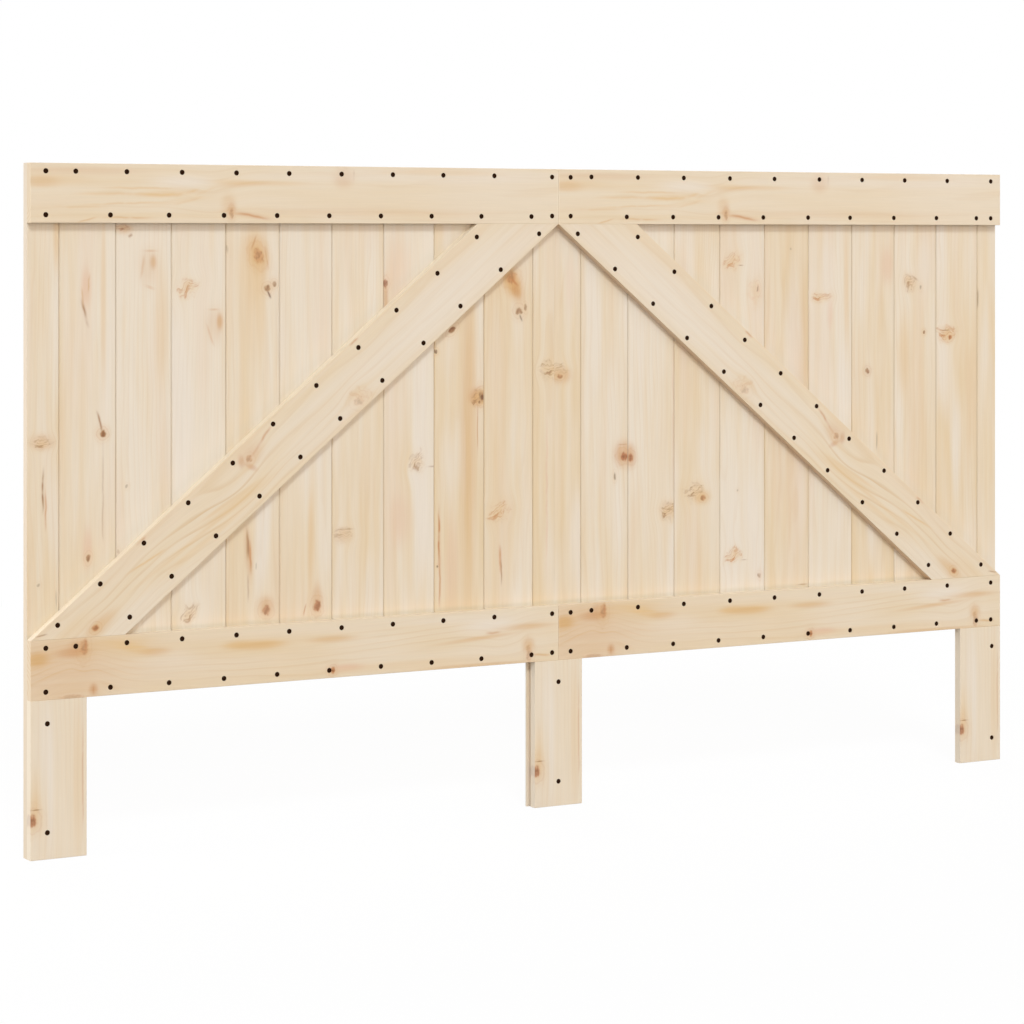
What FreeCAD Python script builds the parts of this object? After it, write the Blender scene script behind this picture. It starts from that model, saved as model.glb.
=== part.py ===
import FreeCAD, Part
import math
import os

# Plank headboard on three legs, in two butted halves.
# X runs from left to right seen from the front, Y from front to back, Z up from the floor.
# The origin is on the floor, at the middle of the width and of the depth.

# Overall sizes
headboard_width = 2040.0
rail_height = 100.0
panel_opening_height = 694.0
leg_drop = 265.0
front_board_thickness = 16.0
panel_board_thickness = 16.0

# Front boards
leg_board_width = 100.0
brace_width = 107.0
arris_radius = 0.8

# Upright panel boards. The two cut boards of a half share one board's width
whole_boards_in_half = 9
left_cut_board_share = 0.56
joint_gap = 0.6
seam_gap = 0.2
front_groove_chamfer = 1.5
back_groove_chamfer = 0.6
tongue_length = 10.0
tongue_thickness = 5.4
tongue_side_clearance = 0.15
tongue_end_clearance = 0.5
tongue_tip_chamfer = 0.8

# Countersunk wood screws
screw_length = 30.0
screw_diameter = 4.5
screw_head_diameter = 8.8
screw_head_rim = 0.4
screw_head_angle = 90.0
screw_point_length = 5.0
screw_point_diameter = 0.6
screw_sink = 0.3
screw_hole_clearance = 0.1
recess_width = 4.6
recess_slot = 0.9
recess_depth = 1.5

# Where the screws stand
rail_row_inset = 13.5
seam_row_inset = 14.6
joint_screw_inset = 12.5
left_end_screw_inset = 27.1
left_half_seam_screw_inset = 13.6
right_half_seam_screw_inset = 25.8
right_end_screw_inset = 23.6
brace_screws_in_row = 11
brace_upper_row_rise = 23.5
brace_lower_row_rise = 29.3
leg_screw_drop = 39.3
leg_screw_height = 44.5
left_leg_screw_inset = 29.9
right_leg_screw_inset = 21.0

# Where the brace's rows start and end, in board pitches from the left end and from the seam
brace_upper_row_start_share = 0.472
brace_upper_row_end_share = 1.673
brace_lower_row_start_share = 1.742
brace_lower_row_end_share = 0.402

# The screws were set by eye, so each stands off its regular place by a share of this drift
screw_drift = 3.0
left_upper_row_drift_shares = (3.6, 0.3, 0.1, 0.0, -0.5, -0.6, -0.8, -0.9, 0.0)
left_lower_row_drift_shares = (-1.3, 0.4, 0.5, 0.1, -0.3, -0.4, -0.5, -0.6, 0.1)
right_upper_row_drift_shares = (0.2, -0.2, -0.5, 0.0, -0.1, 0.6, 0.2, 0.3, 0.9)
right_lower_row_drift_shares = (0.0, -0.1, -0.3, -0.4, 0.1, -1.0, -0.1, 0.4, -0.7)
brace_upper_row_drift_shares = (0.0, -1.3, -1.6, -1.1, 0.0, -1.2, -0.1, 0.6, -0.9, -0.1, 0.0)
brace_lower_row_drift_shares = (0.0, -1.1, -0.3, 0.4, -0.2, -1.1, -0.1, 0.7, -1.0, 0.0, 0.0)

# Dowels across the seam, inside the rails
dowel_diameter = 8.0
dowel_length = 40.0
dowel_chamfer = 1.0
dowel_spacing = 30.0
dowel_side_clearance = 0.1
dowel_end_clearance = 0.5

# One overrun for every cut that must pass through a surface
cut_overrun = 1.0

# Places that follow from the sizes
half_width = headboard_width / 2
board_pitch = half_width / (whole_boards_in_half + 1)
left_cut_board_width = board_pitch * left_cut_board_share
bottom_rail_base = leg_drop
bottom_rail_top = bottom_rail_base + rail_height
top_rail_base = bottom_rail_top + panel_opening_height
headboard_height = top_rail_base + rail_height
total_depth = front_board_thickness + panel_board_thickness
front_face = -total_depth / 2
panel_face = front_face + front_board_thickness
back_face = total_depth / 2

Z_AXIS = FreeCAD.Vector(0, 0, 1)
Y_AXIS = FreeCAD.Vector(0, 1, 0)
X_AXIS = FreeCAD.Vector(1, 0, 0)


def brace_cut_length():
    """Length of the level cut at each end of a brace that runs from corner to corner of its half."""
    clear = panel_opening_height ** 2
    width = brace_width ** 2
    half = half_width ** 2
    root = math.sqrt(width ** 2 * half + (clear - width) * width * (clear + half))
    return (root - width * half_width) / (clear - width)


brace_cut = brace_cut_length()


def flat_prism(points, direction):
    """Pull a closed outline of points out to a solid."""
    vectors = [FreeCAD.Vector(*point) for point in points]
    outline = Part.makePolygon(vectors + vectors[:1])
    return Part.Face(outline).extrude(direction)


# Upright tongue-and-groove boards


def panel_board(left, right, base, left_is_cut, right_is_cut, left_gap, right_gap):
    """One upright board: its outline seen from above, with a tongue on the left and a groove on the right."""
    left = left + left_gap
    right = right - right_gap
    middle = (panel_face + back_face) / 2
    tongue = tongue_thickness / 2
    slot = tongue + tongue_side_clearance
    slot_end = right - tongue_length - tongue_end_clearance
    tip = left - tongue_length
    if left_is_cut:
        left_side = [(left, back_face), (left, panel_face)]
    else:
        left_side = [
            (left + back_groove_chamfer, back_face),
            (left, back_face - back_groove_chamfer),
            (left, middle + tongue),
            (tip + tongue_tip_chamfer, middle + tongue),
            (tip, middle + tongue - tongue_tip_chamfer),
            (tip, middle - tongue + tongue_tip_chamfer),
            (tip + tongue_tip_chamfer, middle - tongue),
            (left, middle - tongue),
            (left, panel_face + front_groove_chamfer),
            (left + front_groove_chamfer, panel_face),
        ]
    if right_is_cut:
        right_side = [(right, panel_face), (right, back_face)]
    else:
        right_side = [
            (right - front_groove_chamfer, panel_face),
            (right, panel_face + front_groove_chamfer),
            (right, middle - slot),
            (slot_end, middle - slot),
            (slot_end, middle + slot),
            (right, middle + slot),
            (right, back_face - back_groove_chamfer),
            (right - back_groove_chamfer, back_face),
        ]
    outline = [(x, y, base) for x, y in left_side + right_side]
    return flat_prism(outline, Z_AXIS * (headboard_height - base))


def board_edges(half_start):
    """The joint lines of one half, from its left end to its right end."""
    joints = [half_start + left_cut_board_width + board_pitch * i for i in range(whole_boards_in_half + 1)]
    return [half_start] + joints + [half_start + half_width]


def half_panel(half_start):
    """The boards of one half. The two cut boards at its ends reach the floor."""
    edges = board_edges(half_start)
    last = len(edges) - 2
    boards = []
    for i in range(last + 1):
        left_gap = joint_gap / 2 if i > 0 else end_gap(edges[0])
        right_gap = joint_gap / 2 if i < last else end_gap(edges[-1])
        base = 0 if i in (0, last) else bottom_rail_base
        board = panel_board(edges[i], edges[i + 1], base, i == 0, i == last, left_gap, right_gap)
        boards.append(board)
    return boards


def end_gap(x):
    """Half of the seam's gap at the middle of the headboard, none at its outer ends."""
    return seam_gap / 2 if abs(x) < half_width / 2 else 0


# Front boards


def eased_board(corners):
    """A board on the front of the panel, from its outline in X and Z, with its front edges rounded."""
    outline = [(x, front_face, z) for x, z in corners]
    board = flat_prism(outline, Y_AXIS * front_board_thickness)
    front_edges = [edge for edge in board.Edges if lies_in_front(edge)]
    return board.makeFillet(arris_radius, front_edges)


def lies_in_front(edge):
    """Whether an edge lies in the front face."""
    return all(abs(vertex.Y - front_face) < arris_radius / 2 for vertex in edge.Vertexes)


def level_board(left, right, base, top):
    """A front board with square ends."""
    return eased_board([(left, base), (right, base), (right, top), (left, top)])


def left_brace():
    """The left brace rises from the left end to the seam, cut level at both ends."""
    seam = -seam_gap / 2
    corners = [
        (-half_width, bottom_rail_top),
        (-half_width + brace_cut, bottom_rail_top),
        (seam, top_rail_base),
        (seam - brace_cut, top_rail_base),
    ]
    return eased_board(corners)


# Screws


def screw_head_depth():
    """Depth of the head's cone, from the rim to the shank."""
    overhang = (screw_head_diameter - screw_diameter) / 2
    return overhang / math.tan(math.radians(screw_head_angle / 2))


def screw():
    """A screw at the origin with its head's face in the XZ plane and its point towards the back."""
    head = screw_head_diameter / 2
    shank = screw_diameter / 2
    neck = screw_head_rim + screw_head_depth()
    profile = [
        (0, 0, 0),
        (head, 0, 0),
        (head, screw_head_rim, 0),
        (shank, neck, 0),
        (shank, screw_length - screw_point_length, 0),
        (screw_point_diameter / 2, screw_length, 0),
        (0, screw_length, 0),
    ]
    vectors = [FreeCAD.Vector(*point) for point in profile]
    face = Part.Face(Part.makePolygon(vectors + vectors[:1]))
    body = face.revolve(FreeCAD.Vector(0, 0, 0), Y_AXIS, 360)
    for width, height in ((recess_width, recess_slot), (recess_slot, recess_width)):
        corner = FreeCAD.Vector(-width / 2, -cut_overrun, -height / 2)
        body = body.cut(Part.makeBox(width, recess_depth + cut_overrun, height, corner))
    return body


def screw_group(places):
    """The screws of one board as separate solids in one node."""
    model = screw()
    group = []
    for x, z in places:
        placed = model.copy()
        placed.translate(FreeCAD.Vector(x, front_face + screw_sink, z))
        group.append(placed)
    return Part.makeCompound(group)


def countersunk_hole(x, z):
    """The hole in a front board: a sunk seat for the head and a clearance hole for the shank."""
    seat_radius = screw_head_diameter / 2 + screw_hole_clearance
    shank_radius = screw_diameter / 2 + screw_hole_clearance
    seat_end = front_face + screw_sink + screw_head_rim
    mouth = FreeCAD.Vector(x, front_face - cut_overrun, z)
    seat = Part.makeCylinder(seat_radius, seat_end - mouth.y, mouth, Y_AXIS)
    cone_start = FreeCAD.Vector(x, seat_end, z)
    cone = Part.makeCone(seat_radius, shank_radius, screw_head_depth(), cone_start, Y_AXIS)
    shank = Part.makeCylinder(shank_radius, panel_face + cut_overrun - mouth.y, mouth, Y_AXIS)
    return seat.fuse([cone, shank])


def pilot_hole(x, z):
    """The hole in the panel behind a screw, as deep as the screw reaches."""
    start = FreeCAD.Vector(x, panel_face - cut_overrun, z)
    reach = front_face + screw_sink + screw_length + screw_hole_clearance
    return Part.makeCylinder(screw_diameter / 2 + screw_hole_clearance, reach - start.y, start, Y_AXIS)


def drill(board, places, hole):
    """Cut one hole for each screw whose place touches the board."""
    box = board.BoundBox
    reach = screw_head_diameter
    near = [
        hole(x, z)
        for x, z in places
        if box.XMin - reach < x < box.XMax + reach and box.ZMin - reach < z < box.ZMax + reach
    ]
    return board.cut(near) if near else board


def rail_screw_places(half_start, rail_base, left_inset, right_inset, upper_shares, lower_shares):
    """Two screws in each whole board, high by its left joint and low by its right one, and two in each cut one."""
    joints = board_edges(half_start)[1:-1]
    upper = rail_base + rail_height - rail_row_inset
    lower = rail_base + rail_row_inset
    places = []
    for i in range(whole_boards_in_half):
        places.append((joints[i] + joint_screw_inset + screw_drift * upper_shares[i], upper))
        places.append((joints[i + 1] - joint_screw_inset + screw_drift * lower_shares[i], lower))
    for x in (half_start + left_inset, half_start + half_width - right_inset):
        row_inset = seam_row_inset if abs(x) < half_width / 2 else rail_row_inset
        places.append((x, rail_base + rail_height - row_inset))
        places.append((x, rail_base + row_inset))
    return places


def brace_row_places(start_share, end_share, rise, drift_shares):
    """One row of screws along the left brace, in level steps."""
    first = -half_width + board_pitch * start_share
    last = -board_pitch * end_share
    climb = panel_opening_height - brace_upper_row_rise - brace_upper_row_rise
    places = []
    for i in range(brace_screws_in_row):
        along = i / (brace_screws_in_row - 1)
        x = first + (last - first) * along + screw_drift * drift_shares[i]
        places.append((x, bottom_rail_top + rise + climb * along))
    return places


def brace_screw_places():
    """Two rows along the left brace. They lean a little against its edges."""
    upper = brace_row_places(
        brace_upper_row_start_share,
        brace_upper_row_end_share,
        brace_upper_row_rise,
        brace_upper_row_drift_shares)
    lower = brace_row_places(
        brace_lower_row_start_share,
        brace_lower_row_end_share,
        brace_lower_row_rise,
        brace_lower_row_drift_shares)
    return upper + lower


def leg_screw_places(x):
    """One screw high and one low in a leg."""
    return [(x, leg_drop - leg_screw_drop), (x, leg_screw_height)]


# Dowels


def seam_dowel_heights(rail_base):
    """Heights of the two dowels of one rail."""
    middle = rail_base + rail_height / 2
    return (middle - dowel_spacing / 2, middle + dowel_spacing / 2)


def dowel_depth():
    """Place of the dowels in the rail's thickness."""
    return front_face + front_board_thickness / 2


def dowel(height):
    """One dowel with chamfered ends, half in each rail board."""
    start = FreeCAD.Vector(-dowel_length / 2, dowel_depth(), height)
    peg = Part.makeCylinder(dowel_diameter / 2, dowel_length, start, X_AXIS)
    rims = [edge for edge in peg.Edges if edge.Closed]
    return peg.makeChamfer(dowel_chamfer, rims)


def dowel_hole(height):
    """The hole for one dowel, through both rail ends at once."""
    reach = dowel_length / 2 + dowel_end_clearance
    start = FreeCAD.Vector(-reach, dowel_depth(), height)
    return Part.makeCylinder(dowel_diameter / 2 + dowel_side_clearance, 2 * reach, start, X_AXIS)


# Assembly


def mirrored(places):
    """The same places on the other side of the seam."""
    return [(-x, z) for x, z in places]


def build():
    """Every node of the headboard by name."""
    seam = seam_gap / 2
    left_upper, left_lower = left_upper_row_drift_shares, left_lower_row_drift_shares
    right_upper, right_lower = right_upper_row_drift_shares, right_lower_row_drift_shares
    rails = {"top": top_rail_base, "bottom": bottom_rail_base}
    places = {}
    fronts = {}
    nodes = {}
    for level, base in rails.items():
        places["left_" + level + "_rail"] = rail_screw_places(
            -half_width, base, left_end_screw_inset, left_half_seam_screw_inset, left_upper, left_lower)
        places["right_" + level + "_rail"] = rail_screw_places(
            0, base, right_half_seam_screw_inset, right_end_screw_inset, right_upper, right_lower)
        top = base + rail_height
        fronts["left_" + level + "_rail"] = level_board(-half_width, -seam, base, top)
        fronts["right_" + level + "_rail"] = level_board(seam, half_width, base, top)
    places["left_brace"] = brace_screw_places()
    places["right_brace"] = mirrored(places["left_brace"])
    fronts["left_brace"] = left_brace()
    fronts["right_brace"] = fronts["left_brace"].mirror(FreeCAD.Vector(0, 0, 0), X_AXIS)
    places["left_leg"] = leg_screw_places(-half_width + left_leg_screw_inset)
    places["centre_leg"] = leg_screw_places(0)
    places["right_leg"] = leg_screw_places(half_width - right_leg_screw_inset)
    leg_starts = {
        "left_leg": -half_width,
        "centre_leg": -leg_board_width / 2,
        "right_leg": half_width - leg_board_width,
    }
    for name, start in leg_starts.items():
        fronts[name] = level_board(start, start + leg_board_width, 0, leg_drop)

    for name, board in fronts.items():
        board = drill(board, places[name], countersunk_hole)
        if name.endswith("rail"):
            base = rails[name.split("_")[1]]
            board = board.cut([dowel_hole(height) for height in seam_dowel_heights(base)])
        node = name + "_front" if name.endswith("leg") else name
        nodes[node] = board
        nodes[name + "_screws"] = screw_group(places[name])
    for level, base in rails.items():
        pegs = [dowel(height) for height in seam_dowel_heights(base)]
        nodes[level + "_rail_dowels"] = Part.makeCompound(pegs)

    every_place = [place for group in places.values() for place in group]
    for side, half_start in (("left", -half_width), ("right", 0)):
        for i, board in enumerate(half_panel(half_start)):
            nodes["%s_panel_board_%02d" % (side, i + 1)] = drill(board, every_place, pilot_hole)
    return nodes


os.makedirs("parts", exist_ok=True)
for node_name, shape in build().items():
    shape.exportStep("parts/" + node_name + ".step")
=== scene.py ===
import math
import random

import bmesh
import bpy
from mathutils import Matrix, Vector


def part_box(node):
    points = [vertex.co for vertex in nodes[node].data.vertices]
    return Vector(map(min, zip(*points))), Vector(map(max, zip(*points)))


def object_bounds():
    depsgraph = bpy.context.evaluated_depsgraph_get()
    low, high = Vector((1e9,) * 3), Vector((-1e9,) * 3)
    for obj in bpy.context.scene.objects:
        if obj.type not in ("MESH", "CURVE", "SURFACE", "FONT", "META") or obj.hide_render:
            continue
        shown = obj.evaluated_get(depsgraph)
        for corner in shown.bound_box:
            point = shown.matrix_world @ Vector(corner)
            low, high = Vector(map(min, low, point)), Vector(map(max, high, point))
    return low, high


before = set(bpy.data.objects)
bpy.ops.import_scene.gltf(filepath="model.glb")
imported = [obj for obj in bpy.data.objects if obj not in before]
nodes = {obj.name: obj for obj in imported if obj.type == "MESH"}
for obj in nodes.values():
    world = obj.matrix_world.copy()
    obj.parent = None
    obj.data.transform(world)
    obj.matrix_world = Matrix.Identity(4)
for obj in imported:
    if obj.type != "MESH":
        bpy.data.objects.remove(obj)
solids_low, solids_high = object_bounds()

# Upright panel boards
# Twenty-two tongue-and-groove boards of knotty pine, planed and left pale and matt. They stand side by side
# behind the rails, and the boards at the ends and at the seam run down to the floor behind the legs.
mm = 0.001
board_count = 11
tongue_length = 10 * mm
pith_depth = 62 * mm
# Marks are placed in millimetres: these are the middle of a board and two depths under its front face.
board_middle = 51
right_through = 1e6
face_only = 6


def paint(red, green, blue):
    """A colour written as it looks, from 0 to 255, as a linear colour."""
    def linear(value):
        share = value / 255
        return share / 12.92 if share <= 0.04045 else ((share + 0.055) / 1.055) ** 2.4
    return (linear(red), linear(green), linear(blue), 1.0)


pale_pine = paint(234, 219, 198)
honey_pine = paint(228, 203, 165)
late_wood = paint(215, 178, 126)
sawn_pine = paint(238, 223, 201)
end_grain = paint(236, 213, 180)
amber = paint(225, 190, 140)
deep_amber = paint(214, 167, 106)
tan = paint(215, 174, 131)
rosy = paint(227, 192, 162)
chalky = paint(235, 222, 206)
orange_brown = paint(196, 128, 72)
rust = paint(176, 100, 50)
deep_tan = paint(204, 147, 96)
red_brown = paint(170, 94, 54)
nut_brown = paint(162, 110, 62)
grey_brown = paint(160, 134, 104)
bark_brown = paint(106, 56, 22)
# Painted shade: two cool greys laid thinly on the boards' fronts above the bottom rail and the braces.
painted_rail_corner_shade = paint(160, 159, 139)
painted_brace_edge_shade = paint(189, 193, 183)


def add_node(tree, kind, inputs=None, **settings):
    """A shader node with its settings made and its inputs set or linked."""
    node = tree.nodes.new(kind)
    for name, value in settings.items():
        setattr(node, name, value)
    for key, value in (inputs or {}).items():
        if isinstance(value, bpy.types.NodeSocket):
            tree.links.new(value, node.inputs[key])
        else:
            node.inputs[key].default_value = value
    return node


def number(tree, operation, *values):
    """The result of one sum on numbers."""
    return add_node(tree, "ShaderNodeMath", dict(enumerate(values)), operation=operation).outputs[0]


def vector(tree, operation, *values):
    """The result of one sum on vectors."""
    return add_node(tree, "ShaderNodeVectorMath", dict(enumerate(values)), operation=operation).outputs[0]


def length_of(tree, value):
    """The length of a vector."""
    return add_node(tree, "ShaderNodeVectorMath", {0: value}, operation="LENGTH").outputs["Value"]


def eased(tree, value, start, end):
    """0 where the value is at start, 1 where it is at end, with soft ends."""
    ease = add_node(
        tree, "ShaderNodeMapRange", {"Value": value, "From Min": start, "From Max": end},
        interpolation_type="SMOOTHSTEP")
    return ease.outputs["Result"]


def bell(tree, value, narrowness):
    """1 where the value is 0, falling away on both sides of it."""
    squared = number(tree, "MULTIPLY", value, value)
    return number(tree, "EXPONENT", number(tree, "MULTIPLY", squared, -narrowness))


def plateau(tree, value):
    """Close to 1 where the value is under 0.5, and close to 0 where it is over 1.5."""
    return number(tree, "EXPONENT", number(tree, "MULTIPLY", number(tree, "POWER", value, 3.0), -1.0))


def noise(tree, place, stretch, detail=2.0, output="Fac"):
    """Soft noise that rises and falls about so many times in each unit of length along each axis."""
    scaled = vector(tree, "MULTIPLY", place, stretch)
    cloud = add_node(tree, "ShaderNodeTexNoise", {"Vector": scaled, "Scale": 1.0, "Detail": detail})
    return cloud.outputs[output]


def ruffled(tree, place, rough, reach):
    """A place shifted over the face by coloured noise, by so much at most each way."""
    shift = vector(tree, "MULTIPLY_ADD", rough, (2 * reach, 0.0, 2 * reach), (-reach, 0.0, -reach))
    return vector(tree, "ADD", place, shift)


def mixed(tree, share, first, second, blend="MIX"):
    """Two colours mixed."""
    blended = add_node(
        tree, "ShaderNodeMix", {0: share, 6: first, 7: second}, data_type="RGBA", blend_type=blend)
    return blended.outputs[2]


def new_group(name, inputs, outputs):
    """An empty node group with its sockets, and its own input and output ends."""
    tree = bpy.data.node_groups.new(name, "ShaderNodeTree")
    for in_out, sockets in (("INPUT", inputs), ("OUTPUT", outputs)):
        for socket, kind in sockets.items():
            tree.interface.new_socket(name=socket, in_out=in_out, socket_type="NodeSocket" + kind)
    return tree, tree.nodes.new("NodeGroupInput").outputs, tree.nodes.new("NodeGroupOutput").inputs


def finish_group(tree, ends, results):
    """Link a group's results to its output end."""
    for name, value in results.items():
        tree.links.new(value, ends[name])
    return tree


def grain_group():
    """Growth rings round a pith behind the board's face, which the face cuts as stripes and long arches that
    come and go. Bands are soft streaks of tint, blush is where the wood turns chalky or rosy, and fibres are
    the fine lines of the planed face."""
    wander_reach = 90 * mm
    wobble_reach = 14 * mm
    ring_start = 0.55
    ring_peak = 0.88
    faintest_ring = 0.2
    tree, given, ends = new_group(
        "pine grain",
        {"Place": "Vector", "Pith": "Vector", "Drift": "Vector", "Ring width": "Float"},
        {"Rings": "Float", "Bands": "Float", "Blush": "Float", "Fibres": "Float"})
    drifted = vector(tree, "ADD", given["Place"], given["Drift"])
    wander = noise(tree, drifted, (5.0, 5.0, 0.9), 1.0)
    wobble = noise(tree, drifted, (34.0, 34.0, 5.0))
    from_pith = vector(tree, "SUBTRACT", given["Place"], given["Pith"])
    parts = add_node(tree, "ShaderNodeSeparateXYZ", {0: from_pith})
    wander_shift = number(tree, "MULTIPLY_ADD", wander, wander_reach, -wander_reach / 2)
    across = number(tree, "ADD", parts.outputs["X"], wander_shift)
    flat = add_node(tree, "ShaderNodeCombineXYZ", {"X": across, "Y": parts.outputs["Y"]}).outputs[0]
    radius = number(tree, "MULTIPLY_ADD", wobble, wobble_reach, length_of(tree, flat))
    place_in_ring = number(tree, "FRACT", number(tree, "DIVIDE", radius, given["Ring width"]))
    rise = eased(tree, place_in_ring, ring_start, ring_peak)
    fall = eased(tree, place_in_ring, 1.0, ring_peak)
    presence = eased(tree, noise(tree, drifted, (17.0, 17.0, 3.2)), 0.34, 0.66)
    shows = number(tree, "MULTIPLY_ADD", presence, 1.0 - faintest_ring, faintest_ring)
    rings = number(tree, "MULTIPLY", number(tree, "MULTIPLY", rise, fall), shows)
    broad = noise(tree, drifted, (20.0, 20.0, 2.2))
    narrow = noise(tree, drifted, (70.0, 70.0, 4.0), 3.0)
    bands = number(tree, "MULTIPLY_ADD", narrow, 0.5, number(tree, "MULTIPLY", broad, 0.5))
    blush = noise(tree, drifted, (19.0, 19.0, 2.6), 1.0)
    fibres = noise(tree, drifted, (420.0, 420.0, 14.0), 1.0)
    return finish_group(
        tree, ends, {"Rings": rings, "Bands": bands, "Blush": blush, "Fibres": fibres})


def pushed_aside(tree, place, fade, share):
    """How far a mark pushes the grain away from its middle, as a share of its own width."""
    side = add_node(tree, "ShaderNodeSeparateXYZ", {0: place}).outputs["X"]
    return number(tree, "MULTIPLY", number(tree, "MULTIPLY", side, fade), -share)


def knot_group():
    """A knot of radius 1: its heart, the darker core in it, the stained wood about it, the grain lines that
    run round it, and how far it pushes the grain aside."""
    spread = 0.22
    tree, given, ends = new_group(
        "pine knot",
        {"Place": "Vector", "Board": "Vector"},
        {"Heart": "Float", "Core": "Float", "Stain": "Float", "Lines": "Float", "Push": "Float"})
    rough = noise(tree, given["Board"], (120.0, 120.0, 80.0), 2.0, "Color")
    ragged = length_of(tree, ruffled(tree, given["Place"], rough, 0.75))
    heart = eased(tree, ragged, 1.25, 0.7)
    core = eased(tree, length_of(tree, ruffled(tree, given["Place"], rough, 1.5)), 0.95, 0.2)
    stain = bell(tree, ragged, spread)
    round_knot = eased(tree, number(tree, "SINE", number(tree, "MULTIPLY", ragged, 7.0)), -0.1, 0.9)
    line_reach = number(tree, "MULTIPLY", eased(tree, ragged, 1.0, 1.5), eased(tree, ragged, 3.4, 1.8))
    lines = number(tree, "MULTIPLY", round_knot, line_reach)
    fade = bell(tree, length_of(tree, given["Place"]), spread)
    push = pushed_aside(tree, given["Place"], fade, 0.8)
    return finish_group(
        tree, ends, {"Heart": heart, "Core": core, "Stain": stain, "Lines": lines, "Push": push})


def swirl_group():
    """Curled grain of radius 1, where a knot lies just under the face: short ragged strokes in a soft
    stain."""
    tree, given, ends = new_group(
        "curled grain",
        {"Place": "Vector", "Board": "Vector"},
        {"Lines": "Float", "Stain": "Float", "Push": "Float"})
    rough = noise(tree, given["Board"], (52.0, 52.0, 40.0), 2.0, "Color")
    ragged = ruffled(tree, given["Place"], rough, 1.0)
    stain = bell(tree, length_of(tree, ragged), 1.3)
    strokes = eased(tree, noise(tree, ragged, (1.1, 0.0, 3.6), 2.0), 0.42, 0.72)
    lines = number(tree, "MULTIPLY", strokes, eased(tree, stain, 0.08, 0.55))
    fade = bell(tree, length_of(tree, given["Place"]), 0.5)
    push = pushed_aside(tree, given["Place"], fade, 0.7)
    return finish_group(tree, ends, {"Lines": lines, "Stain": stain, "Push": push})


def crack_group():
    """A resin streak or fine split that runs with the grain, 1 wide each way and 1 long each way. It wavers
    from side to side and breaks off here and there."""
    waver_reach = 1.6
    tree, given, ends = new_group(
        "resin streak", {"Place": "Vector", "Board": "Vector"}, {"Stain": "Float"})
    waver = noise(tree, given["Board"], (4.0, 4.0, 22.0))
    shifted = number(tree, "MULTIPLY_ADD", waver, 2 * waver_reach, -waver_reach)
    parts = add_node(tree, "ShaderNodeSeparateXYZ", {0: given["Place"]})
    line = bell(tree, number(tree, "ADD", parts.outputs["X"], shifted), 1.6)
    taper = eased(tree, number(tree, "ABSOLUTE", parts.outputs["Z"]), 1.0, 0.25)
    broken = eased(tree, noise(tree, given["Board"], (30.0, 30.0, 26.0)), 0.22, 0.5)
    stain = number(tree, "MULTIPLY", number(tree, "MULTIPLY", line, taper), broken)
    return finish_group(tree, ends, {"Stain": stain})


def patch_group():
    """A soft patch of another tint, strongest in its middle and streaky along the grain."""
    tree, given, ends = new_group(
        "tinted patch", {"Place": "Vector", "Board": "Vector"}, {"Stain": "Float"})
    soft = plateau(tree, length_of(tree, given["Place"]))
    streaks = noise(tree, given["Board"], (150.0, 150.0, 3.0))
    stain = number(tree, "MULTIPLY", soft, number(tree, "MULTIPLY_ADD", streaks, 0.9, 0.55))
    return finish_group(tree, ends, {"Stain": stain})


def shade_group():
    """An even soft tint of radius 1, with no grain in it."""
    tree, given, ends = new_group(
        "even shade", {"Place": "Vector", "Board": "Vector"}, {"Stain": "Float"})
    return finish_group(tree, ends, {"Stain": plateau(tree, length_of(tree, given["Place"]))})


def bend_group():
    """A place of radius 1 where the grain bends to one side and back."""
    tree, given, ends = new_group(
        "bent grain", {"Place": "Vector", "Board": "Vector"}, {"Push": "Float"})
    return finish_group(tree, ends, {"Push": bell(tree, length_of(tree, given["Place"]), 1.0)})


pine_grain = grain_group()
tinted_patch = patch_group()
figure_groups = {
    "bend": bend_group(),
    "flame": tinted_patch,
    "patch": tinted_patch,
    "swirl": swirl_group(),
    "knot": knot_group(),
    "crack": crack_group(),
    "shade": shade_group(),
}
drawing_order = list(figure_groups)


def figure(kind, across, along, width, length, colour, strength, turn, stain=amber, depth=right_through):
    """One mark in the wood. Across and along are its place on the board, width and length its half sizes and
    depth how far it reaches down from the front face, all in millimetres. Turn is its lean in degrees."""
    return {
        "kind": kind, "across": across, "along": along, "width": width, "length": length, "depth": depth,
        "colour": colour, "strength": strength, "turn": turn, "stain": stain,
        "core": bark_brown, "lines": orange_brown,
    }


def knot(across, along, width, length, colour, strength, turn=0.0, stain=amber):
    """A knot in one colour, with a stain about it in another."""
    return figure("knot", across, along, width, length, colour, strength, turn, stain)


def swirl(across, along, width, length, colour, strength, turn=0.0, stain=amber):
    """Curled grain over a hidden knot."""
    return figure("swirl", across, along, width, length, colour, strength, turn, stain)


def crack(across, along, width, length, colour, strength, turn=0.0):
    """A resin streak or fine split."""
    return figure("crack", across, along, width, length, colour, strength, turn)


def patch(across, along, width, length, colour, strength, turn=0.0):
    """A streaky patch of another tint."""
    return figure("patch", across, along, width, length, colour, strength, turn)


def shade(across, along, width, length, colour, strength, turn=0.0):
    """An even tint on the front face only: painted shade in corners, painted highlight at the rail seam."""
    return figure("shade", across, along, width, length, colour, strength, turn, depth=face_only)


def flame(across, along, width, length, strength, turn=0.0):
    """A stretch where the rings show strongly."""
    return figure("flame", across, along, width, length, amber, strength, turn)


def bend(across, along, width, length, shift):
    """A stretch where the rings are shifted aside, by so many millimetres in its middle."""
    return figure("bend", across, along, width, length, amber, shift, 0.0)


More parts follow.
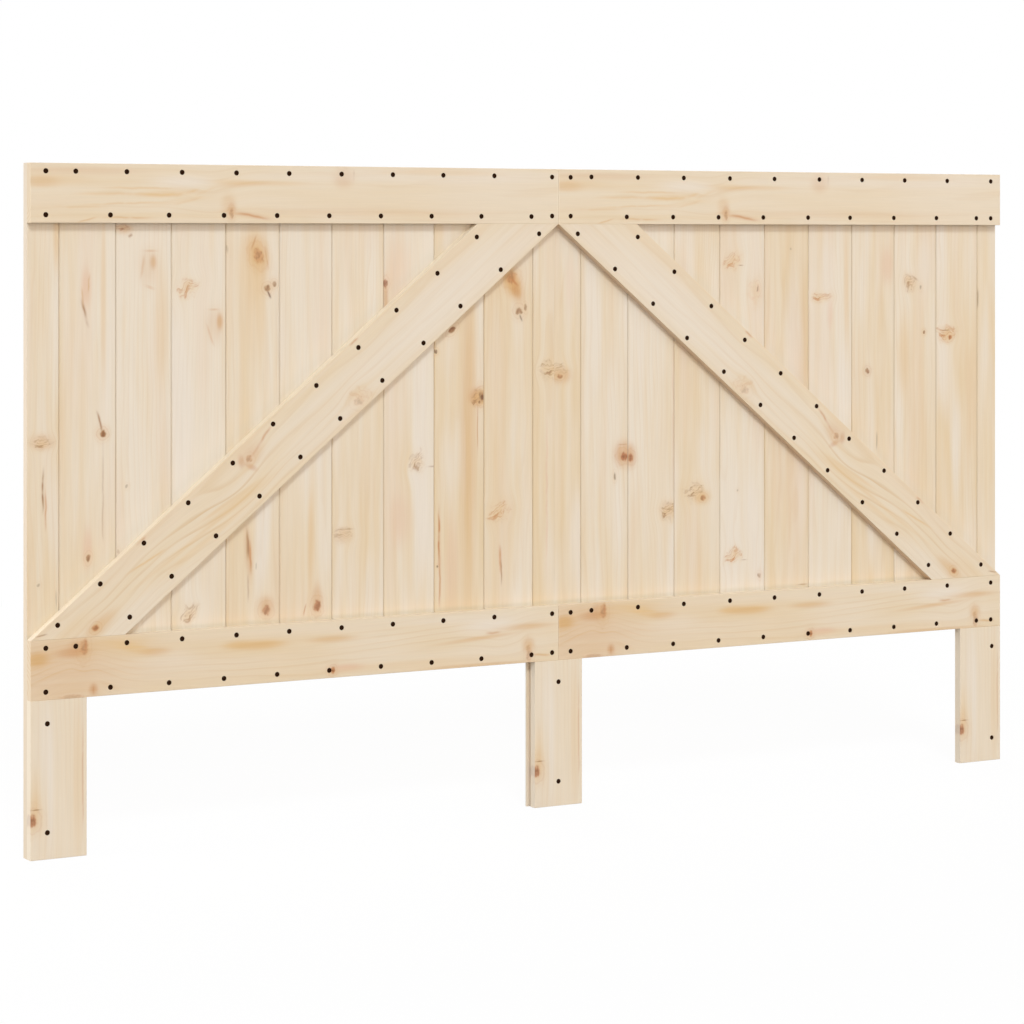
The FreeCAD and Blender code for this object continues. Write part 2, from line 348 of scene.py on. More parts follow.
def laid_marks(tree, board, figures):
    """Each mark with what its group gives, in drawing order, and how far the marks push the grain aside."""
    marks = []
    push = 0.0
    for mark in sorted(figures, key=lambda mark: drawing_order.index(mark["kind"])):
        place = add_node(
            tree, "ShaderNodeMapping",
            {"Vector": board, "Location": (mark["across"] * mm, 0, mark["along"] * mm),
             "Rotation": (0, math.radians(mark["turn"]), 0),
             "Scale": (mark["width"] * mm, mark["depth"] * mm, mark["length"] * mm)},
            vector_type="TEXTURE").outputs[0]
        group = tree.nodes.new("ShaderNodeGroup")
        group.node_tree = figure_groups[mark["kind"]]
        tree.links.new(place, group.inputs["Place"])
        tree.links.new(board, group.inputs["Board"])
        marks.append((mark, group.outputs))
        if "Push" in group.outputs:
            reach = mark["strength"] if mark["kind"] == "bend" else mark["width"]
            push = number(tree, "MULTIPLY_ADD", group.outputs["Push"], reach * mm, push)
    return marks, add_node(tree, "ShaderNodeCombineXYZ", {"X": push}).outputs[0]


def board_grain(tree, board, aside, pith_across, ring_width, seed):
    """The grain of one board. Boards with the same pith, ring width and seed show the same grain."""
    chance = random.Random(seed)
    grain = tree.nodes.new("ShaderNodeGroup")
    grain.node_tree = pine_grain
    tree.links.new(vector(tree, "ADD", board, aside), grain.inputs["Place"])
    grain.inputs["Pith"].default_value = (pith_across * mm, pith_depth, 0)
    grain.inputs["Drift"].default_value = [chance.uniform(-5, 5) for axis in range(3)]
    grain.inputs["Ring width"].default_value = ring_width * mm
    return grain.outputs


def clear_wood(tree, grain, board, tone, tone_rise, band_depth):
    """The wood between its marks: bands from pale to honey-coloured, with a chalky and a rosy blush."""
    along_board = add_node(tree, "ShaderNodeSeparateXYZ", {0: board}).outputs["Z"]
    base_tone = number(tree, "MULTIPLY_ADD", along_board, tone_rise, tone - band_depth / 2)
    band_tone = number(tree, "MULTIPLY_ADD", grain["Bands"], band_depth, base_tone)
    colour = mixed(tree, band_tone, pale_pine, honey_pine)
    chalky_part = eased(tree, grain["Blush"], 0.5, 0.72)
    colour = mixed(tree, number(tree, "MULTIPLY", chalky_part, 0.24 * band_depth), colour, chalky)
    rosy_part = eased(tree, grain["Blush"], 0.5, 0.28)
    return mixed(tree, number(tree, "MULTIPLY", rosy_part, 0.06 * band_depth), colour, rosy)


mark_layers = {
    "patch": (("Stain", 1.0, "colour"),),
    "swirl": (("Stain", 0.7, "stain"), ("Lines", 0.95, "colour")),
    "knot": (
        ("Stain", 0.5, "stain"), ("Heart", 0.9, "colour"), ("Core", 0.6, "core"), ("Lines", 0.16, "lines")),
    "crack": (("Stain", 1.0, "colour"),),
    "shade": (("Stain", 1.0, "colour"),),
}


def marked_wood(tree, colour, grain, marks, ring_depth):
    """The wood with its rings, which flames strengthen, and then each mark's layers of colour."""
    ring_share = ring_depth
    for mark, found in marks:
        if mark["kind"] == "flame":
            ring_share = number(tree, "MULTIPLY_ADD", found["Stain"], mark["strength"], ring_share)
    colour = mixed(tree, number(tree, "MULTIPLY", grain["Rings"], ring_share), colour, late_wood)
    for mark, found in marks:
        for part, part_strength, tint in mark_layers.get(mark["kind"], ()):
            share = number(tree, "MULTIPLY", found[part], part_strength * mark["strength"])
            colour = mixed(tree, share, colour, mark[tint])
    return colour


def fibrous(tree, colour, grain):
    """The colour, a little darker or lighter along its fibres."""
    fibre_contrast = 0.07
    tone = number(tree, "MULTIPLY_ADD", grain["Fibres"], fibre_contrast, 1.0 - fibre_contrast / 2)
    grey = add_node(tree, "ShaderNodeCombineColor", {"Red": tone, "Green": tone, "Blue": tone})
    return mixed(tree, 1.0, colour, grey.outputs[0], "MULTIPLY")


def sawn_faces(tree, colour, grain, normal, lean, edge):
    """The colour, with the sawn edges in their own tint and end grain where the fibres are cut across."""
    cover = 0.7
    forward = number(tree, "ABSOLUTE", add_node(tree, "ShaderNodeSeparateXYZ", {0: normal}).outputs["Y"])
    on_edge = eased(tree, forward, 0.35, 0.15)
    colour = mixed(tree, number(tree, "MULTIPLY", on_edge, cover), colour, edge)
    grain_run = add_node(
        tree, "ShaderNodeVectorMath", {0: normal, 1: (math.sin(lean), 0, math.cos(lean))},
        operation="DOT_PRODUCT")
    on_end = eased(tree, number(tree, "ABSOLUTE", grain_run.outputs["Value"]), 0.5, 0.9)
    colour = mixed(tree, number(tree, "MULTIPLY", on_end, cover), colour, end_grain)
    end_rings = number(tree, "MULTIPLY", number(tree, "MULTIPLY", grain["Rings"], on_end), 0.5)
    return mixed(tree, end_rings, colour, late_wood)


def pine(
        name, origin, tone, figures, pith_across, seed, tone_rise=0.0, turn=0.0, mirror=1.0,
        ring_width=5.0, ring_depth=0.3, band_depth=2.9, edge=sawn_pine):
    """A board's own pine. Its grain runs up from the origin, leaned over by turn. Tone runs from pale at 0
    to honey-coloured at 1 and changes by tone_rise in each metre. Band depth is how far the soft bands stray
    from it, ring depth how strongly the rings show, edge the tint of the sawn edges, and the figures are
    this board's marks."""
    material = bpy.data.materials.new(name)
    material.use_nodes = True
    tree = material.node_tree
    tree.nodes.clear()
    lean = math.radians(turn)
    coordinates = add_node(tree, "ShaderNodeTexCoord")
    board = add_node(
        tree, "ShaderNodeMapping",
        {"Vector": coordinates.outputs["Object"], "Location": origin, "Rotation": (0, lean, 0),
         "Scale": (mirror, 1, 1)},
        vector_type="TEXTURE").outputs[0]
    marks, aside = laid_marks(tree, board, figures)
    grain = board_grain(tree, board, aside, pith_across, ring_width, seed)
    colour = clear_wood(tree, grain, board, tone, tone_rise, band_depth)
    colour = marked_wood(tree, colour, grain, marks, ring_depth)
    colour = fibrous(tree, colour, grain)
    colour = sawn_faces(tree, colour, grain, coordinates.outputs["Normal"], lean, edge)
    ring_relief = number(tree, "MULTIPLY", grain["Rings"], 0.5)
    relief = number(tree, "ADD", grain["Fibres"], ring_relief)
    bump = add_node(tree, "ShaderNodeBump", {"Strength": 0.12, "Distance": 0.3 * mm, "Height": relief})
    shader = add_node(
        tree, "ShaderNodeBsdfPrincipled",
        {"Base Color": colour, "Roughness": 0.45, "Specular IOR Level": 0.5, "Normal": bump.outputs[0]})
    add_node(tree, "ShaderNodeOutputMaterial", {"Surface": shader.outputs[0]})
    return material


def finish_node(name, material):
    """Give one CAD node its finish."""
    for slot in nodes[name].material_slots:
        slot.material = material


# How honey-coloured each board is low down and high up, at these two heights in metres.
board_tones = {
    "left": (
        (0.95, 0.25), (0.45, 0.20), (0.30, -0.25), (0.40, 0.05), (0.65, 0.20), (0.45, 0.15),
        (0.50, 0.25), (0.35, 0.15), (1.05, 0.35), (0.45, 0.75), (0.95, 0.40)),
    "right": (
        (0.75, 0.25), (0.50, 0.35), (0.45, 0.20), (0.50, 0.40), (0.15, 0.15), (0.80, 0.70),
        (0.15, 0.30), (0.85, 0.35), (0.65, 0.25), (0.75, 0.45), (0.85, 0.65)),
}
tone_heights = (0.41, 1.02)
board_figures = {
    "left": {
        1: [
            swirl(25, 692, 19, 10, nut_brown, 0.68), patch(26, 693, 22, 14, tan, 0.5),
            crack(28, 612, 2.2, 45, nut_brown, 0.9), crack(33, 580, 2.0, 42, orange_brown, 0.6),
            knot(20, 455, 3, 3, grey_brown, 0.35), crack(52, 428, 1.4, 22, grey_brown, 0.5),
            patch(53, 1040, 8, 60, amber, 0.6),
        ],
        2: [
            patch(48, 950, 9, 34, rosy, 0.8), crack(46, 908, 3.0, 30, nut_brown, 0.8, -14),
            crack(53, 958, 2.0, 20, tan, 0.8, 4), crack(42, 934, 2.0, 22, tan, 0.7, -6),
            knot(78, 704, 5.4, 5.6, nut_brown, 1.0, 0, deep_amber),
            crack(72, 724, 2.4, 24, nut_brown, 0.8, -14), crack(78, 600, 1.6, 120, nut_brown, 0.35),
            patch(79, 930, 5, 150, amber, 0.5), patch(50, 512, 9, 34, rosy, 0.7),
            knot(52, 496, 4, 6, nut_brown, 0.8),
        ],
        3: [
            swirl(14, 1050, 14, 8, red_brown, 0.7), patch(14, 1050, 16, 10, tan, 0.5),
            crack(26, 1038, 3, 6, nut_brown, 0.6, 60), patch(60, 985, 20, 34, tan, 0.3),
            crack(48, 985, 3.0, 26, tan, 0.5, 8), crack(60, 1012, 14, 3, tan, 0.5),
            patch(68, 993, 6, 12, tan, 0.8), crack(62, 950, 10, 4, tan, 0.4, 20),
            knot(19, 614, 2.6, 3, grey_brown, 0.35), patch(84, 880, 12, 110, amber, 0.4),
            knot(4, 504, 3, 4, nut_brown, 0.25),
        ],
        4: [
            swirl(30, 948, 22, 14, orange_brown, 0.75, -28), patch(80, 884, 15, 30, tan, 0.35),
            patch(90, 890, 6, 14, tan, 0.9), crack(84, 911, 12, 2.6, tan, 0.6),
            crack(72, 868, 2.4, 26, tan, 0.5, -20), swirl(34, 391, 18, 12, nut_brown, 0.7, -35),
        ],
        5: [
            patch(50, 985, 28, 70, amber, 0.6), patch(60, 1006, 19, 32, deep_amber, 0.5, -18),
            knot(61, 1003, 9, 13, orange_brown, 0.56, -25, deep_amber),
            crack(52, 1026, 2.0, 18, orange_brown, 0.5, 22),
            crack(76, 1000, 2.0, 22, orange_brown, 0.4, -10), knot(2, 1014, 3, 6, grey_brown, 0.2),
            knot(78, 947, 5.4, 6, nut_brown, 0.75, 0, deep_amber),
            knot(80, 950, 3.0, 3.2, bark_brown, 0.25), crack(82, 936, 2.2, 10, bark_brown, 0.8, -30),
            knot(92, 954, 4, 4.6, nut_brown, 0.55, 0, deep_amber), patch(50, 890, 26, 70, amber, 0.35),
            patch(42, 490, 7, 44, tan, 0.6, -4), crack(40, 506, 3.0, 34, nut_brown, 0.6, -3),
            crack(46, 482, 2.6, 36, orange_brown, 0.7, -4), crack(42, 500, 1.6, 24, nut_brown, 0.6, -3),
            crack(42, 430, 2.0, 30, nut_brown, 0.4), knot(76, 389, 8, 8, rust, 0.56, 0, tan),
            patch(76, 396, 14, 17, tan, 0.7), crack(57, 466, 1.2, 8, grey_brown, 0.5),
        ],
        6: [
            knot(72, 390, 6.8, 9.6, rust, 0.72, 0, tan), patch(72, 404, 11, 26, tan, 0.6),
            patch(61, 500, 7, 90, amber, 0.6), crack(49, 385, 1.6, 14, orange_brown, 0.6, 14),
        ],
        7: [
            swirl(20, 512, 18, 14, nut_brown, 0.4), patch(20, 512, 18, 14, tan, 0.4),
            crack(22, 522, 14, 2.2, nut_brown, 0.7),
        ],
        8: [
            knot(3.5, 953, 4.2, 7.0, red_brown, 0.7, 0, tan), patch(4, 925, 5, 30, tan, 0.9),
            swirl(68, 633, 19, 17, nut_brown, 0.7, -40), crack(95, 626, 10, 2.2, nut_brown, 0.5),
            patch(32, 535, 22, 46, rosy, 0.5), patch(30, 975, 26, 60, rosy, 0.4),
        ],
        9: [
            knot(3, 831, 3.0, 3.6, grey_brown, 0.9), knot(36, 869, 4.3, 8.0, nut_brown, 0.95, 52),
            patch(69, 700, 15, 270, deep_amber, 0.5), patch(88, 748, 16, 15, deep_tan, 0.8),
            swirl(90, 746, 13, 14, nut_brown, 1.0, 0, deep_amber),
            crack(88, 690, 1.4, 60, orange_brown, 0.6), knot(97, 748, 6.8, 9.6, nut_brown, 1.0),
            knot(98, 747, 4.0, 5.4, bark_brown, 0.85), knot(92, 738, 3.0, 3.0, nut_brown, 0.7),
            crack(9, 500, 2.6, 66, orange_brown, 0.9), crack(11, 420, 2.2, 60, orange_brown, 0.7),
            knot(6, 447, 2, 2.4, grey_brown, 0.7), patch(35, 450, 12, 90, rosy, 0.5),
        ],
        10: [
            patch(60, 950, 17, 34, deep_amber, 0.9, -30),
            knot(56, 962, 11, 10, orange_brown, 0.56, -20, deep_amber),
            crack(62, 955, 3.4, 16, orange_brown, 0.8, -45),
            patch(66, 938, 8, 14, orange_brown, 0.4, -30),
            knot(72, 901, 6.5, 7, nut_brown, 0.7, 0, deep_amber),
            crack(77, 889, 2.2, 9, bark_brown, 0.6, -20), knot(86, 907, 3.4, 6, nut_brown, 0.5),
            swirl(31, 539, 24, 18, orange_brown, 0.75, -15),
            crack(34, 452, 3.2, 34, orange_brown, 0.7, -3), crack(36, 430, 1.8, 30, nut_brown, 0.6),
        ],
        11: [
            swirl(34, 792, 22, 15, nut_brown, 0.8), crack(29, 570, 2.4, 180, rosy, 0.7),
        ],
    },
    "right": {
        1: [
            patch(14, 782, 22, 14, tan, 0.7), swirl(2, 792, 22, 14, nut_brown, 0.66),
            knot(12, 781, 5.6, 4.2, orange_brown, 0.6, 0, amber), patch(34, 950, 10, 50, rosy, 0.3),
        ],
        2: [
            patch(92, 636, 20, 23, tan, 0.75), knot(92, 630, 8, 8, rust, 0.85, 0, deep_tan),
            crack(88, 652, 9, 1.8, rust, 0.5), knot(73, 594, 2.6, 6.4, grey_brown, 0.55),
        ],
        3: [
            patch(4, 632, 12, 20, tan, 0.75), knot(6, 627, 5.5, 8, rust, 0.75, 0, deep_tan),
            swirl(88, 524, 20, 16, nut_brown, 0.85), patch(88, 526, 18, 15, tan, 0.4),
            crack(88, 528, 9, 1.6, nut_brown, 0.6), crack(99, 700, 2.0, 200, rosy, 0.7),
        ],
        4: [
            swirl(46, 556, 22, 17, nut_brown, 0.8),
            knot(64, 546, 6, 4.6, orange_brown, 0.65, 0, deep_amber), patch(60, 548, 18, 12, amber, 0.6),
            patch(20, 900, 12, 100, rosy, 0.4),
        ],
        5: [
            swirl(28, 988, 19, 14, orange_brown, 0.7, -30), crack(46, 982, 6, 1.6, nut_brown, 0.6),
            swirl(80, 930, 16, 28, rosy, 0.5), knot(87, 938, 3.4, 8, rosy, 0.7),
            swirl(30, 434, 18, 14, orange_brown, 0.9, -30), crack(55, 425, 7, 1.6, nut_brown, 0.4),
            knot(90, 394, 4, 5, nut_brown, 0.4, 0, tan), knot(40, 557, 2.2, 2.4, grey_brown, 0.3),
        ],
        6: [
            knot(60, 1013, 2.2, 2.4, grey_brown, 0.25), patch(72, 640, 24, 280, rosy, 0.25),
            patch(90, 830, 14, 160, tan, 0.2), crack(86, 371, 14, 2, nut_brown, 0.6),
        ],
        7: [
            swirl(28, 920, 22, 9, orange_brown, 0.8), patch(50, 890, 7, 30, rosy, 0.7),
            patch(44, 960, 14, 100, chalky, 0.5), patch(88, 940, 6, 120, amber, 0.4),
        ],
        8: [
            knot(37, 776, 4.8, 5.0, nut_brown, 0.76, 0, tan), patch(84, 980, 16, 34, rosy, 0.6),
            crack(59, 640, 1.8, 22, grey_brown, 0.6),
        ],
        9: [
            swirl(37, 946, 15, 17, nut_brown, 0.75, -35), patch(38, 948, 18, 17, tan, 0.3),
            crack(50, 955, 8, 3, nut_brown, 0.5, 30), knot(64, 937, 2.6, 5, grey_brown, 0.4),
            knot(72, 849, 3, 3.4, nut_brown, 0.8), patch(22, 800, 14, 80, amber, 0.5),
            patch(70, 980, 18, 60, chalky, 0.5),
        ],
        10: [
            swirl(26, 846, 24, 17, orange_brown, 0.9), patch(28, 846, 20, 15, tan, 0.3),
            knot(34, 838, 5.2, 4.6, orange_brown, 1.0), crack(20, 852, 12, 1.8, nut_brown, 0.6),
        ],
        11: [
            crack(1.5, 915, 1.6, 26, grey_brown, 0.8),
        ],
    },
}

left_brace_low, left_brace_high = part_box("left_brace")
# Both ends of a brace are sawn level, and the cut is this long.
brace_end_cut = 169.3 * mm
brace_rise = left_brace_high.z - left_brace_low.z
brace_run = left_brace_high.x - left_brace_low.x - brace_end_cut
brace_lean = math.degrees(math.atan2(brace_run, brace_rise))
bottom_rail_top = left_brace_low.z
half_width = solids_high.x


def painted_corner_shades(board_start):
    """Painted shade on the front of a board: faint cool darkening in the corners above the bottom rail and
    above the brace, which damps the warm light that the wood in front throws back on it."""
    middle = board_start + board_middle * mm
    brace_edge = bottom_rail_top + (half_width - abs(middle)) * brace_rise / brace_run
    lean = math.copysign(brace_lean, -middle)
    return [
        shade(board_middle, bottom_rail_top / mm, 130, 8, painted_rail_corner_shade, 0.34),
        shade(board_middle, brace_edge / mm, 22, 200, painted_brace_edge_shade, 0.18, lean),
    ]


for side_number, side in enumerate(("left", "right")):
    for board_number in range(1, board_count + 1):
        board_name = "%s_panel_board_%02d" % (side, board_number)
        board_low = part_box(board_name)[0]
        board_start = board_low.x + (0 if board_number == 1 else tongue_length)
        board_seed = board_count * side_number + board_number
        chance = random.Random(board_seed)
        tone_low, tone_high = board_tones[side][board_number - 1]
        tone_rise = (tone_high - tone_low) / (tone_heights[1] - tone_heights[0])
        # The board's own marks, and painted shade in its corners above the bottom rail and the brace.
        material = pine(
            board_name + "_pine", (board_start, 0, 0), tone_low - tone_rise * tone_heights[0],
            board_figures[side][board_number] + painted_corner_shades(board_start),
            tone_rise=tone_rise,
            pith_across=chance.uniform(-70, 160),
            ring_width=chance.uniform(4, 9),
            ring_depth=chance.uniform(0.08, 0.2),
            seed=board_seed)
        finish_node(board_name, material)

# Rails
# Four level boards of the same pine, butted at the seam and screwed to the front of the upright boards. The
# grain runs level, and the two right rails were sawn to the same figure as the two left ones.
level = 90.0
rail_middle = 50
# Pale pine for the leg fronts' sawn edges, also laid as a painted highlight on the rails at the seam.
fresh_pine = paint(252, 238, 216)
top_rail_figures = [
    patch(31, 18, 10, 34, deep_amber, 0.45), patch(28, 50, 9, 60, amber, 0.3),
    flame(50, 220, 26, 200, 0.12, -2), bend(50, 330, 60, 60, -14), crack(51, 150, 3.0, 90, amber, 0.55),
    crack(52, 235, 4.2, 60, amber, 0.75, -1), crack(46, 285, 3.2, 26, amber, 0.65, -16),
    patch(49, 250, 6, 50, amber, 0.4, -3), crack(41, 200, 2.4, 90, amber, 0.6),
    crack(67, 170, 2.4, 100, amber, 0.6, -2), crack(61, 285, 2.6, 36, amber, 0.4, -16),
    patch(62, 270, 5, 60, amber, 0.25, -8), crack(44, 318, 3.0, 30, amber, 0.3, -20),
    patch(30, 275, 12, 60, chalky, 0.6), patch(33, 388, 5, 50, deep_amber, 0.35, -4),
    patch(31, 450, 5, 60, amber, 0.4), patch(29, 370, 5, 40, amber, 0.4),
    crack(73, 90, 2.2, 60, amber, 0.5), knot(84, 366, 9, 4, orange_brown, 0.35, 0, deep_amber),
    patch(66, 360, 17, 13, deep_amber, 0.3), patch(78, 366, 14, 8, orange_brown, 0.28, 8),
    crack(88, 404, 2.6, 40, orange_brown, 0.6, 8), patch(86, 400, 5, 46, tan, 0.5, 8),
    crack(91, 175, 2.4, 60, deep_amber, 0.5), crack(95, 100, 2.0, 26, deep_amber, 0.5, -14),
    patch(20, 582, 17, 20, tan, 0.6), crack(17, 602, 8, 3, nut_brown, 0.3),
    patch(16, 760, 14, 300, chalky, 0.5), patch(9, 780, 6, 120, amber, 0.35),
    patch(80, 620, 9, 260, deep_amber, 0.2), patch(88, 180, 5, 260, honey_pine, 0.4),
    flame(60, 640, 60, 500, 0.08), patch(60, 890, 44, 130, chalky, 0.25), patch(12, 90, 7, 110, tan, 0.3),
]
bottom_rail_figures = [
    patch(55, 390, 60, 200, amber, 0.18), patch(50, 890, 50, 90, chalky, 0.2),
    patch(50, 44, 70, 110, tan, 0.4), patch(52, 110, 60, 150, deep_amber, 0.2),
    patch(32, 12, 13, 22, deep_amber, 0.8), patch(24, 74, 9, 30, deep_tan, 0.55),
    patch(16, 84, 14, 18, deep_tan, 0.35), knot(15, 95, 15, 7.0, orange_brown, 0.42, 0, deep_amber),
    crack(15, 98, 13, 3, orange_brown, 0.5), patch(12, 160, 10, 60, amber, 0.5),
    patch(24, 186, 9, 40, amber, 0.85, 14), patch(32, 225, 7, 28, deep_amber, 0.6),
    patch(31, 380, 8, 30, amber, 1.0), patch(33, 425, 9, 42, amber, 0.9),
    patch(34, 415, 6, 50, deep_amber, 0.4), knot(98, 72, 4, 24, orange_brown, 0.25, 0, tan),
    patch(88, 112, 10, 8, deep_tan, 0.6), crack(90, 112, 8, 2.4, orange_brown, 0.4),
    flame(66, 70, 34, 130, 0.5), bend(56, 84, 60, 72, 30), flame(62, 420, 34, 330, 0.18),
    flame(50, 800, 30, 170, 0.18), bend(50, 905, 60, 50, -14),
    patch(50, 850, 4.0, 80, deep_amber, 0.5, -4), crack(42, 885, 2.6, 22, deep_tan, 0.6),
    patch(32, 560, 6, 46, deep_amber, 0.5), patch(34, 940, 6, 60, deep_amber, 0.6),
    knot(87, 560, 5.4, 4.6, orange_brown, 0.95, 0, tan), patch(84, 586, 7, 34, rosy, 0.9),
    knot(84, 958, 14, 6, orange_brown, 0.35, 0, tan), patch(68, 956, 14, 12, deep_amber, 0.5),
    crack(87, 985, 2.8, 26, deep_amber, 0.6, 4), patch(28, 880, 12, 60, chalky, 0.6),
    patch(12, 660, 11, 330, chalky, 0.35), patch(44, 250, 14, 60, chalky, 0.3),
    patch(88, 720, 8, 200, amber, 0.35), patch(98, 850, 4, 120, deep_amber, 0.5),
]
# Each rail's name, tone, figures, strength of the painted highlight at the seam, place of the pith and seed.
rail_looks = (
    ("top", 0.54, top_rail_figures, 0.5, 45.0, 41),
    ("bottom", 0.62, bottom_rail_figures, 0.1, 110.0, 43),
)

for side in ("left", "right"):
    for rail, tone, figures, seam_highlight_strength, pith_across, seed in rail_looks:
        rail_name = side + "_" + rail + "_rail"
        rail_low, rail_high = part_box(rail_name)
        seam_end = half_width / mm if side == "left" else 0.0
        # Painted highlight: a pale tint at the seam end that lifts the shadow in the joint.
        painted_seam_highlight = shade(rail_middle, seam_end, 70, 1.6, fresh_pine, seam_highlight_strength)
        material = pine(
            rail_name + "_pine", (rail_low.x, rail_low.y, rail_high.z), tone, figures + [painted_seam_highlight],
            turn=level, pith_across=pith_across, ring_width=8.5, ring_depth=0.13, band_depth=1.1, seed=seed)
        finish_node(rail_name, material)

# Braces
# Two boards laid flat on the panel, from the outer ends of the bottom rail up to the seam under the top
# rail. They are sawn level at both ends, screwed on like the rails, and figured as a mirrored pair.
# Painted highlight: paler sawn edges for the left brace, whose visible edge the lamps light.
painted_lit_edge = paint(247, 233, 211)
# Painted shade: darker, browner sawn edges for the right brace, whose visible edge lies in shade.
painted_shaded_edge = paint(232, 203, 172)
brace_figures = [
    flame(62, 330, 36, 240, 0.36, 3), flame(30, 330, 20, 170, 0.16), bend(50, 440, 46, 70, -16),
    bend(60, 250, 60, 70, 10), patch(74, 430, 7, 80, amber, 0.5, 6), patch(62, 420, 4, 70, amber, 0.5, 8),
    patch(66, 300, 4, 110, amber, 0.4, 4), patch(84, 340, 6, 110, amber, 0.35, 2),
    crack(38, 240, 2.6, 60, amber, 0.8, 10), knot(62, 99, 5, 6, orange_brown, 0.85, 0, deep_amber),
    patch(64, 112, 12, 34, deep_amber, 0.45), patch(52, 70, 30, 50, amber, 0.3),
    knot(29, 492, 6, 6, orange_brown, 0.4, 0, tan), crack(20, 530, 3.0, 42, orange_brown, 0.65, -14),
    patch(22, 478, 11, 6, orange_brown, 0.4, 30), patch(42, 486, 12, 5, orange_brown, 0.4, -25),
    patch(26, 500, 18, 26, tan, 0.4), crack(4, 253, 3.4, 14, orange_brown, 0.5),
    crack(3, 774, 2.4, 14, orange_brown, 0.5), swirl(84, 725, 15, 22, tan, 0.5),
    knot(90, 716, 8, 10, tan, 0.35, 0, rosy), crack(6, 20, 1.6, 14, nut_brown, 0.6, 30),
    patch(50, 900, 30, 220, chalky, 0.5), flame(60, 800, 40, 300, 0.16),
    patch(90, 640, 10, 160, chalky, 0.4), patch(84, 970, 20, 260, chalky, 0.5),
    patch(50, 1040, 22, 130, chalky, 0.3),
]

for side, mirror, edge in (("left", 1.0, painted_lit_edge), ("right", -1.0, painted_shaded_edge)):
    brace_name = side + "_brace"
    brace_low, brace_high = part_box(brace_name)
    outer_end = brace_low.x if side == "left" else brace_high.x
    material = pine(
        brace_name + "_pine", (outer_end, brace_low.y, brace_low.z), 0.58, brace_figures,
        turn=brace_lean * mirror, mirror=mirror, pith_across=20.0, ring_width=8.0, ring_depth=0.18,
        band_depth=1.7, edge=edge, seed=47)
    finish_node(brace_name, material)

# Leg fronts
# Three short upright boards below the bottom rail, screwed to the panel boards that reach the floor. All
# three show the same figure, with half a knot at the left edge.
leg_figures = [
    knot(3, 66, 8.2, 10.4, rust, 0.78, 0, deep_amber), crack(9, 84, 9, 1.8, nut_brown, 0.7),
    patch(8, 84, 12, 30, amber, 0.4), patch(84, 130, 9, 130, amber, 0.3),
    patch(28, 190, 12, 70, chalky, 0.5), patch(35, 120, 7, 110, chalky, 0.6),
    crack(93, 130, 1.6, 120, deep_tan, 0.5), patch(8, 114, 8, 40, amber, 0.3),
]

for leg in ("left", "centre", "right"):
    leg_name = leg + "_leg_front"
    leg_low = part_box(leg_name)[0]
    material = pine(
        leg_name + "_pine", (leg_low.x, leg_low.y, leg_low.z), 0.28, leg_figures,
        pith_across=-40.0, ring_width=6.5, ring_depth=0.15, band_depth=0.8, edge=fresh_pine, seed=53)
    finish_node(leg_name, material)

# Screws
# Countersunk cross-head wood screws of blackened steel, driven until the heads sit a hair under the face.
# They hold the rails, braces and leg fronts to the upright boards.
screw_shadow = paint(34, 14, 2)
screw_light = paint(54, 28, 6)


def black_screw_steel():
    """Blackened steel, mottled a little and nearly without shine."""
    material = bpy.data.materials.new("black_screw_steel")
    material.use_nodes = True
    tree = material.node_tree
    tree.nodes.clear()
    coordinates = add_node(tree, "ShaderNodeTexCoord")
    mottle = noise(tree, coordinates.outputs["Object"], (900.0, 900.0, 900.0))
    colour = mixed(tree, mottle, screw_shadow, screw_light)
    shader = add_node(
        tree, "ShaderNodeBsdfPrincipled",
        {"Base Color": colour, "Metallic": 0.0, "Roughness": 0.6, "Specular IOR Level": 0.08})
    add_node(tree, "ShaderNodeOutputMaterial", {"Surface": shader.outputs[0]})
    return material


screw_black = black_screw_steel()
for node_name in nodes:
    if node_name.endswith("_screws"):
        finish_node(node_name, screw_black)

# Seam dowels
# Four beech pegs with chamfered ends, hidden inside the rails across the seam: two in the top rail and two
# in the bottom rail. They keep the two halves in line.
dowel_beech = pine("dowel_beech", (0, 0, 0), 0.9, [], turn=level, pith_across=200.0, seed=59)
for node_name in ("top_rail_dowels", "bottom_rail_dowels"):
    finish_node(node_name, dowel_beech)

# Floor
# A plain pale studio floor under a plain pale surround. The camera sees both as white, with a faint shadow
# of the headboard on the floor that fades out away from it.
floor_reach = 30.0
shadow_strength = 0.05
shadow_gone = 3.5
shadow_full = 1.2
white = (1, 1, 1, 1)
floor_grey = (0.36, 0.36, 0.36, 1)
floor_mesh = bmesh.new()
bmesh.ops.create_grid(floor_mesh, x_segments=1, y_segments=1, size=floor_reach)
floor_data = bpy.data.meshes.new("floor")
floor_mesh.to_mesh(floor_data)
floor_mesh.free()
floor = bpy.data.objects.new("floor", floor_data)
bpy.context.scene.collection.objects.link(floor)


def seen_directly(tree):
    """1 for camera, mirror and glass rays, 0 for the light that bounces about."""
    path = add_node(tree, "ShaderNodeLightPath")
    seen = number(tree, "MAXIMUM", path.outputs["Is Camera Ray"], path.outputs["Is Glossy Ray"])
    return number(tree, "MAXIMUM", seen, path.outputs["Is Transmission Ray"])


